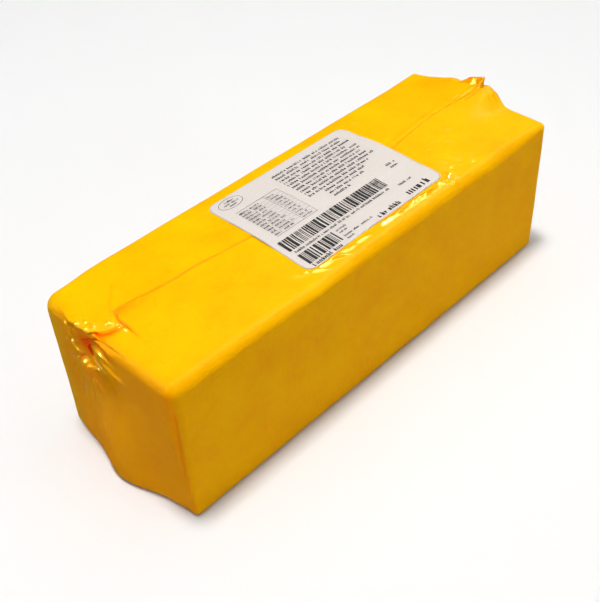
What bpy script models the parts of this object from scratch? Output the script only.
"""A loaf of gouda in its shut yellow shrink film, with a blank paper label on top.

Metres, +Z up. The loaf lies along X with its gathered end at -X, its standing film tail at +X and its
long front side at -Y. The origin is the centre of the bounding box's bottom face.
"""

import bmesh
import bpy
import numpy as np
from mathutils import Matrix, Vector

MM = 0.001

LENGTH = 303 * MM
WIDTH = 105 * MM
HEIGHT = 94.7 * MM
TO_BOX_CENTRE = (4.343 * MM, 0.0)

BASE_RADIUS = 2.8 * MM
FRONT_TOP_RADIUS = 6.5 * MM
BACK_TOP_RADIUS = 4.8 * MM
FAR_RADIUS = 3.4 * MM
BACK_NEAR_EXTRA = 3.2 * MM
SIDE_SWELL = 0.8 * MM
END_SWELL = 1.6 * MM
CROWN = 0.7 * MM

SEAM_PATH_MM = (
    (-152, 14), (-132.5, 13), (-111, 9.4), (-97, 8), (-83.5, 8), (-68, 6), (-45.5, 3.4), (10, 2),
    (70, 1.4), (80, 2.8), (91, 4.4), (111.5, 6), (123, 5.6), (132, 1), (141, -3.6), (153, -4.4),
)
SEAM_MIDDLE = 6 * MM
SEAM_STEP = 0.8 * MM
SEAM_BAND = 4.5 * MM

END_BULGE = 9.5 * MM
BULGE_REACH = 28 * MM

HUMP_HEIGHT = 10.4 * MM
HUMP_REACH = 34 * MM
HUMP_Y = -5 * MM

GATHER = (12 * MM, 84 * MM)
PIT_DEPTH = 3 * MM
KNOB = (17 * MM, 70 * MM)
KNOB_HEIGHT = 3 * MM
KNOB_RADIUS = 6 * MM

TAIL_BOTTOM = 99 * MM
TAIL_TOP = 109 * MM
TAIL_THICKNESS = 1.6 * MM

# The lip's free rim and its buried root, as (x, y, z) in millimetres
LIP_RIM = (
    (-149.0, 41.0, 91.0), (-151.8, 34.0, 93.0), (-153.0, 26.0, 93.8), (-153.4, 18.0, 94.0),
    (-152.8, 11.5, 94.2), (-150.0, 8.0, 94.9), (-145.5, 6.0, 95.5), (-141.0, 4.8, 95.6),
    (-137.4, 5.0, 94.6),
)
LIP_ROOT = (
    (-141.0, 42.0, 90.0), (-141.0, 36.0, 91.0), (-140.0, 30.5, 91.5), (-139.0, 26.0, 91.5),
    (-137.5, 22.0, 91.5), (-136.0, 19.0, 91.5), (-134.5, 16.5, 91.5), (-133.0, 14.5, 91.5),
    (-132.0, 12.0, 91.5),
)
LIP_THICKNESS = (1.2, 2.2, 2.8, 3.0, 3.0, 2.8, 2.6, 2.2, 1.2)

# Pleats of the two ends: three (y, z, half width) places and a height, in millimetres
END_FOLDS = (
    ((13, 83, 2.2), (21, 85.5, 2.6), (29, 88, 1.6), 1.8),
    ((12, 82, 1.6), (22, 80, 2.0), (29, 79, 1.2), 1.3),
    ((10, 85, 1.8), (-4, 88, 2.4), (-19, 92, 1.4), 1.5),
    ((9, 83, 1.6), (-6, 82, 2.0), (-22, 84, 1.2), 1.2),
    ((9, 80, 1.6), (-2, 76, 2.0), (-14, 72, 1.0), 1.4),
    ((10, 78, 1.4), (4, 71, 1.8), (-3, 63, 1.0), 1.3),
    ((12, 76, 1.4), (8, 68, 1.6), (4, 58, 1.0), 1.0),
    ((16, 64, 1.6), (17.5, 54, 2.0), (17.5, 41, 1.0), 0.9),
    ((20, 64, 1.6), (25, 54, 2.0), (31, 42, 1.0), 1.0),
    ((22, 68, 1.4), (30, 60, 1.8), (37, 50, 1.0), 0.8),
)
FAR_FOLDS = (
    ((-1, 100, 1.6), (-3, 90, 2.2), (-5, 74, 1.0), 1.2),
    ((2, 99, 1.6), (7, 88, 2.2), (12, 72, 1.0), 1.2),
    ((4, 99, 1.6), (16, 90, 2.2), (28, 80, 1.0), 1.0),
    ((-3, 99, 1.6), (-12, 88, 2.2), (-20, 76, 1.0), 1.0),
)

LABEL_LENGTH = 112.5 * MM
LABEL_WIDTH = 81.5 * MM
LABEL_CENTRE = (9.3 * MM, 0.8 * MM)
LABEL_CORNER = 6 * MM
LABEL_THICKNESS = 0.35 * MM
LABEL_GAP = 0.3 * MM

FILM_COLOUR = (0.93, 0.47, 0.002, 1.0)
PAPER_COLOUR = (0.80, 0.76, 0.74, 1.0)


def smooth(t):
    """0 below 0, 1 above 1, and an even S between them."""
    t = np.clip(t, 0.0, 1.0)
    return t * t * (3 - 2 * t)


def bell(t):
    return np.exp(-t * t)


def lopsided(d, low, high):
    """A bell round d = 0, each side with its own (spread, power)."""
    low_side = np.exp(-((np.abs(d) / low[0]) ** low[1]))
    high_side = np.exp(-((np.abs(d) / high[0]) ** high[1]))
    return np.where(d < 0, low_side, high_side)


def graded_lines(marks):
    """Coordinates from the first mark to the last, spaced as the (position, spacing) marks say."""
    at = np.array([position for position, _ in marks])
    spacing = np.array([size for _, size in marks])
    fine = np.linspace(at[0], at[-1], 4001)
    density = 1 / np.interp(fine, at, spacing)
    steps = (density[1:] + density[:-1]) / 2 * np.diff(fine)
    along = np.concatenate([[0.0], np.cumsum(steps)])
    count = max(2, int(round(along[-1])))
    return np.interp(np.linspace(0, along[-1], count + 1), along, fine)


def box_shell(xs, ys, zs):
    """The points and outward quads of a closed box whose six faces are gridded by these lines."""
    index = {}
    quads = []
    last = (len(xs) - 1, len(ys) - 1, len(zs) - 1)

    def point(*ijk):
        return index.setdefault(ijk, len(index))

    def face(fixed, at, first, second):
        for a in range(last[first]):
            for b in range(last[second]):
                ring = []
                for step_a, step_b in ((0, 0), (1, 0), (1, 1), (0, 1)):
                    ijk = [0, 0, 0]
                    ijk[fixed] = at
                    ijk[first] = a + step_a
                    ijk[second] = b + step_b
                    ring.append(point(*ijk))
                quads.append(ring if at else ring[::-1])

    for fixed, first, second in ((0, 1, 2), (1, 2, 0), (2, 0, 1)):
        face(fixed, 0, first, second)
        face(fixed, last[fixed], first, second)
    lattice = np.array(list(index))
    points = np.stack([xs[lattice[:, 0]], ys[lattice[:, 1]], zs[lattice[:, 2]]], axis=1)
    return points, quads


def seam_line(x):
    """The y of the film's lap seam along the top."""
    path = np.array(SEAM_PATH_MM) * MM
    return np.interp(x, path[:, 0], path[:, 1])


def top_relief(x, y):
    """How far the top stands above HEIGHT: its crown, the lap seam, a slack dip and the near valley."""
    crown = CROWN * (1 - ((y - 4 * MM) / (50 * MM)) ** 2)
    dip = -1.3 * MM * bell((x + 50 * MM) / (26 * MM)) * bell((y + 42 * MM) / (18 * MM))
    d = y - seam_line(x)
    far = smooth((x - 10 * MM) / (80 * MM))
    lap = smooth(d / (1.0 * MM) + 0.5) * (1 - smooth((d - SEAM_BAND) / (2 * MM)) * 0.75 * far)
    lap *= np.exp(-np.maximum(d, 0) / (22 * MM))
    seam = SEAM_STEP * lap * smooth((x + LENGTH / 2 - 16 * MM) / (8 * MM))
    return crown + dip + seam + valley(x, y)


def valley(x, y):
    """The fold under the lip's inner edge, from the near end in to the seam."""
    start = np.array([-152 * MM, 6.5 * MM])
    along = np.array([16 * MM, -3.5 * MM])
    t = ((x - start[0]) * along[0] + (y - start[1]) * along[1]) / (along @ along)
    d = ((y - start[1]) * along[0] - (x - start[0]) * along[1]) / np.hypot(*along)
    return -2.2 * MM * lopsided(d, (4 * MM, 1.6), (4 * MM, 2.0)) * (1 - smooth((t - 0.7) / 0.5))


def hump(x, y):
    """The tent of slack film that rises to the tail at the far end."""
    across = lopsided(y - HUMP_Y, (13 * MM, 3.0), (34 * MM, 2.0)) * smooth((WIDTH / 2 - y) / (24 * MM))
    return HUMP_HEIGHT * across * smooth((x - LENGTH / 2 + HUMP_REACH) / HUMP_REACH)


def end_bulge(y, z):
    """How far the gathered end stands out at its foot, in a low gusset of film."""
    across = lopsided(y - 1 * MM, (25 * MM, 2.5), (22 * MM, 1.3))
    taper = -1.2 * MM * smooth((np.abs(y) - 36 * MM) / (14 * MM))
    return (END_BULGE * across + taper) * (1 - smooth(z / (78 * MM)))


def gathered_end(y, z):
    """How far the film stands out from the near end: a soft cushion, the gather's pit and the knob."""
    cushion = END_SWELL * np.cos(y / (40 * MM)) * np.sin(np.pi * np.clip(z / HEIGHT, 0, 1)) ** 0.5
    pit = -PIT_DEPTH * bell(np.hypot(y - GATHER[0], (z - GATHER[1]) * 0.7) / (5 * MM))
    knob = KNOB_HEIGHT * bell(np.hypot(y - KNOB[0], z - KNOB[1]) / KNOB_RADIUS)
    return cushion + pit + knob


def corner_radius(p):
    """The rounding of the edges: soft along the top, tight at the far end and round the base."""
    x, y, z = p.T
    top = FRONT_TOP_RADIUS + (BACK_TOP_RADIUS - FRONT_TOP_RADIUS) * smooth(y / (40 * MM) + 0.5)
    radius = BASE_RADIUS + (top - BASE_RADIUS) * smooth(z / HEIGHT)
    back_near = smooth((y - 20 * MM) / (30 * MM)) * smooth((-x - 110 * MM) / (40 * MM))
    radius = radius + BACK_NEAR_EXTRA * back_near * smooth(z / (40 * MM))
    return radius + (FAR_RADIUS - radius) * smooth((x - 120 * MM) / (28 * MM))


def film_surface(p):
    """Carries points of a plain box to the surface of the film, with the rounded box's normals."""
    low = np.array([-LENGTH / 2, -WIDTH / 2, 0.0])
    high = np.array([LENGTH / 2, WIDTH / 2, HEIGHT])
    radius = corner_radius(p)[:, None]
    inner = np.clip(p, low + radius, high - radius)
    out = p - inner
    normal = out / np.linalg.norm(out, axis=1, keepdims=True)
    q = inner + normal * radius
    x, y, z = q.T.copy()
    up = smooth(normal[:, 2])
    near = smooth(-normal[:, 0])
    far = smooth(normal[:, 0])
    raised = smooth((z - 45 * MM) / (45 * MM))
    q[:, 2] += top_relief(x, y) * up + hump(x, y) * raised
    q[:, 0] -= gathered_end(y, z) * near
    q[:, 0] -= end_bulge(y, z) * smooth((-x - LENGTH / 2 + BULGE_REACH) / BULGE_REACH)
    q[:, 0] += 0.6 * END_SWELL * np.cos(y / (36 * MM)) * np.sin(np.pi * z / HEIGHT) * far
    swell = SIDE_SWELL * np.cos(x / (100 * MM)) * np.sin(np.pi * z / HEIGHT)
    q[:, 1] += np.sign(y) * swell * smooth(np.abs(normal[:, 1]))
    return q, normal


def film_lines():
    """Grid lines of the film, close together at the seam, the edges and both gathers."""
    half_length = LENGTH / 2
    half_width = WIDTH / 2
    seam = SEAM_MIDDLE
    xs = graded_lines([
        (-half_length, 2 * MM), (-half_length + 6 * MM, 2.6 * MM), (-half_length + 22 * MM, 4.5 * MM),
        (-60 * MM, 22 * MM), (70 * MM, 22 * MM), (half_length - 30 * MM, 7 * MM),
        (half_length - 6 * MM, 3.5 * MM), (half_length, 1.6 * MM),
    ])
    ys = graded_lines([
        (-half_width, 2 * MM), (-half_width + 8 * MM, 5 * MM), (-20 * MM, 6 * MM),
        (seam - 6 * MM, 3 * MM), (seam - 1 * MM, 1 * MM), (seam + 1 * MM, 1 * MM), (seam + 6 * MM, 3 * MM),
        (32 * MM, 6 * MM), (half_width - 6 * MM, 3.5 * MM), (half_width, 1.8 * MM),
    ])
    zs = graded_lines([
        (0.0, 1.3 * MM), (5 * MM, 4 * MM), (30 * MM, 12 * MM), (58 * MM, 6 * MM),
        (GATHER[1] - 8 * MM, 2.8 * MM), (HEIGHT, 2 * MM),
    ])
    return xs, ys, zs


def follow_seam(p):
    """Slides the grid lines of the top sideways, so that they run along the seam."""
    x, y, z = p.T
    pull = bell((y - SEAM_MIDDLE) / (18 * MM)) * smooth((z - HEIGHT / 2) / (HEIGHT / 2))
    moved = p.copy()
    moved[:, 1] += (seam_line(x) - SEAM_MIDDLE) * pull
    return moved


def mesh_object(name, points, faces, material=None):
    mesh = bpy.data.meshes.new(name)
    mesh.from_pydata([tuple(p) for p in points], [], [list(f) for f in faces])
    mesh.update()
    made = bpy.data.objects.new(name, mesh)
    bpy.context.scene.collection.objects.link(made)
    if material:
        mesh.materials.append(material)
    return made


def new_material(name, colour, roughness):
    made = bpy.data.materials.new(name)
    made.use_nodes = True
    shader = made.node_tree.nodes["Principled BSDF"]
    shader.inputs["Base Color"].default_value = colour
    shader.inputs["Roughness"].default_value = roughness
    shader.inputs["Metallic"].default_value = 0.0
    return made


def loft(rings):
    """A closed surface through rings of equally many points, with a fan over each end."""
    count = len(rings[0])
    points = [p for ring in rings for p in ring]
    faces = []
    for r in range(len(rings) - 1):
        for i in range(count):
            j = (i + 1) % count
            a = r * count
            b = a + count
            faces.append((a + i, a + j, b + j, b + i))
    points.append(np.mean(rings[0], axis=0))
    points.append(np.mean(rings[-1], axis=0))
    last = (len(rings) - 1) * count
    for i in range(count):
        j = (i + 1) % count
        faces.append((len(points) - 2, j, i))
        faces.append((len(points) - 1, last + i, last + j))
    return points, faces


def film_tail():
    """The cut tail of the film: a pleated neck that flattens into a short, thin, upright tab."""
    rings = []
    for s in np.linspace(0, 1, 8):
        spread = smooth(s * 1.8)
        right = -3.5 * MM - 3.3 * MM * spread
        left = 4 * MM + 2 * MM * spread
        thick = TAIL_THICKNESS + 5 * MM * (1 - s) ** 2
        height = TAIL_BOTTOM - 4 * MM + (TAIL_TOP - TAIL_BOTTOM + 4 * MM) * s
        ring = []
        for a in np.linspace(0, 2 * np.pi, 20, endpoint=False):
            across = (left + right) / 2 + np.cos(a) * (left - right) / 2
            fold = 1 + 0.3 * np.cos(6 * a) * (1 - s)
            through = np.sign(np.sin(a)) * abs(np.sin(a)) ** 0.7 * thick / 2 * fold
            drop = -0.34 * across * s ** 2
            ring.append(np.array([LENGTH / 2 - 5 * MM + 4.5 * MM * s + through, across, height + drop]))
        rings.append(ring)
    return loft(rings)


def film_lip():
    """The rolled lip of the upper sheet, which hangs over the gathered end and turns in to the seam."""
    rings = []
    for rim, root, thickness in zip(LIP_RIM, LIP_ROOT, LIP_THICKNESS):
        rim = np.array(rim) * MM
        root = np.array(root) * MM
        half = thickness * MM / 2
        out = np.array([rim[0] - root[0], rim[1] - root[1], 0.0])
        out /= np.linalg.norm(out)
        up = np.array([0.0, 0.0, 1.0])
        middle = rim * 0.55 + root * 0.45
        middle[2] = rim[2]
        ring = [root, middle + up * half * 0.9]
        for a in np.radians((90, 50, 15, -15, -50, -90)):
            ring.append(rim + out * half * np.cos(a) + up * half * np.sin(a))
        ring.append(middle - up * half)
        rings.append(ring)
    return loft(rings)


def ridge(fold, end):
    """One pleat of an end face, from (y, z, half width) through a middle to its tip, in millimetres."""
    start, middle, tip, height = fold
    steps = np.linspace(0, 1, 8)[:, None]
    first, second, third = (1 - steps) ** 2, 2 * steps * (1 - steps), steps ** 2
    curve = (first * np.array(start) + second * np.array(middle) + third * np.array(tip)) * MM
    at_end = np.full(len(curve), end * LENGTH / 2)
    flat = np.column_stack([at_end, curve[:, 0], np.minimum(curve[:, 1], HEIGHT)])
    centre, normal = film_surface(flat)
    rings = []
    for k in range(len(curve)):
        along = centre[min(k + 1, len(curve) - 1)] - centre[max(k - 1, 0)]
        side = np.cross(along, normal[k])
        side /= np.linalg.norm(side)
        swell = 0.25 + 0.75 * np.sin(np.pi * (k + 0.6) / (len(curve) + 0.2))
        ring = []
        for a in np.linspace(0, 2 * np.pi, 6, endpoint=False):
            reach = side * np.cos(a) * curve[k, 2] * swell + normal[k] * np.sin(a) * height * MM * swell
            ring.append(centre[k] + reach)
        rings.append(ring)
    return loft(rings)


def outward(obj):
    """Turns every face of a closed mesh outwards."""
    work = bmesh.new()
    work.from_mesh(obj.data)
    bmesh.ops.recalc_face_normals(work, faces=work.faces)
    work.to_mesh(obj.data)
    work.free()


def join_solid(body, added):
    """Fuses the added object into the body and removes it."""
    union = body.modifiers.new("Union", "BOOLEAN")
    union.operation = "UNION"
    union.solver = "EXACT"
    union.object = added
    graph = bpy.context.evaluated_depsgraph_get()
    fused = bpy.data.meshes.new_from_object(body.evaluated_get(graph))
    body.modifiers.clear()
    body.data = fused
    bpy.data.objects.remove(added)


def make_wrapped_block(material):
    points, quads = box_shell(*film_lines())
    surface, _ = film_surface(follow_seam(points))
    body = mesh_object("wrapped_block", surface, quads, material)
    extras = [film_tail(), film_lip()]
    extras += [ridge(fold, -1) for fold in END_FOLDS]
    extras += [ridge(fold, 1) for fold in FAR_FOLDS]
    for extra_points, extra_faces in extras:
        extra = mesh_object("extra", extra_points, extra_faces)
        outward(extra)
        join_solid(body, extra)
    return body


def label_outline():
    """The label's outline about its own centre: a rectangle with round corners."""
    half_x = LABEL_LENGTH / 2 - LABEL_CORNER
    half_y = LABEL_WIDTH / 2 - LABEL_CORNER
    points = []
    for quarter, (sx, sy) in enumerate(((1, 1), (-1, 1), (-1, -1), (1, -1))):
        for a in np.linspace(0, np.pi / 2, 5):
            angle = quarter * np.pi / 2 + a
            x = sx * half_x + LABEL_CORNER * np.cos(angle)
            y = sy * half_y + LABEL_CORNER * np.sin(angle)
            points.append((x, y))
    return points


def make_label(material):
    """The paper label: its outline cut into strips that follow the crown and the seam under it."""
    work = bmesh.new()
    ring = [work.verts.new((LABEL_CENTRE[0] + x, LABEL_CENTRE[1] + y, 0)) for x, y in label_outline()]
    work.faces.new(ring)
    cuts_x = np.linspace(-LABEL_LENGTH / 2, LABEL_LENGTH / 2, 12)[1:-1] + LABEL_CENTRE[0]
    across = list(np.linspace(-LABEL_WIDTH / 2, LABEL_WIDTH / 2, 14)[1:-1] + LABEL_CENTRE[1])
    for axis, places in ((0, cuts_x), (1, across)):
        for place in places:
            point = Vector((0, 0, 0))
            point[axis] = place
            normal = Vector((0, 0, 0))
            normal[axis] = 1
            everything = work.verts[:] + work.edges[:] + work.faces[:]
            bmesh.ops.bisect_plane(work, geom=everything, plane_co=point, plane_no=normal, dist=1e-7)
    lower = np.array([v.co for v in work.verts])
    rise = HEIGHT + LABEL_GAP + label_rise(lower[:, 0], lower[:, 1])
    for vertex, z in zip(work.verts, rise):
        vertex.co.z = z
    bmesh.ops.triangulate(work, faces=work.faces[:])
    sheet = work.faces[:]
    top = bmesh.ops.extrude_face_region(work, geom=sheet)
    lifted = [g for g in top["geom"] if isinstance(g, bmesh.types.BMVert)]
    bmesh.ops.translate(work, verts=lifted, vec=(0, 0, LABEL_THICKNESS))
    bmesh.ops.recalc_face_normals(work, faces=work.faces[:])
    mesh = bpy.data.meshes.new("label")
    work.to_mesh(mesh)
    work.free()
    mesh.materials.append(material)
    made = bpy.data.objects.new("label", mesh)
    bpy.context.scene.collection.objects.link(made)
    return made


def label_rise(x, y):
    """The top's relief as stiff paper bridges it: the highest film within a few millimetres across."""
    reach = np.linspace(-6 * MM, 6 * MM, 13)
    return np.max([top_relief(x, y + step) - CROWN * 0.12 * abs(step) / (6 * MM) for step in reach], axis=0)


def main():
    for obj in list(bpy.data.objects):
        bpy.data.objects.remove(obj)
    film = new_material("yellow_film", FILM_COLOUR, 0.28)
    paper = new_material("label_paper", PAPER_COLOUR, 0.6)
    for part in (make_wrapped_block(film), make_label(paper)):
        part.data.transform(Matrix.Translation((TO_BOX_CENTRE[0], TO_BOX_CENTRE[1], 0)))
        part.data.shade_smooth()


main()
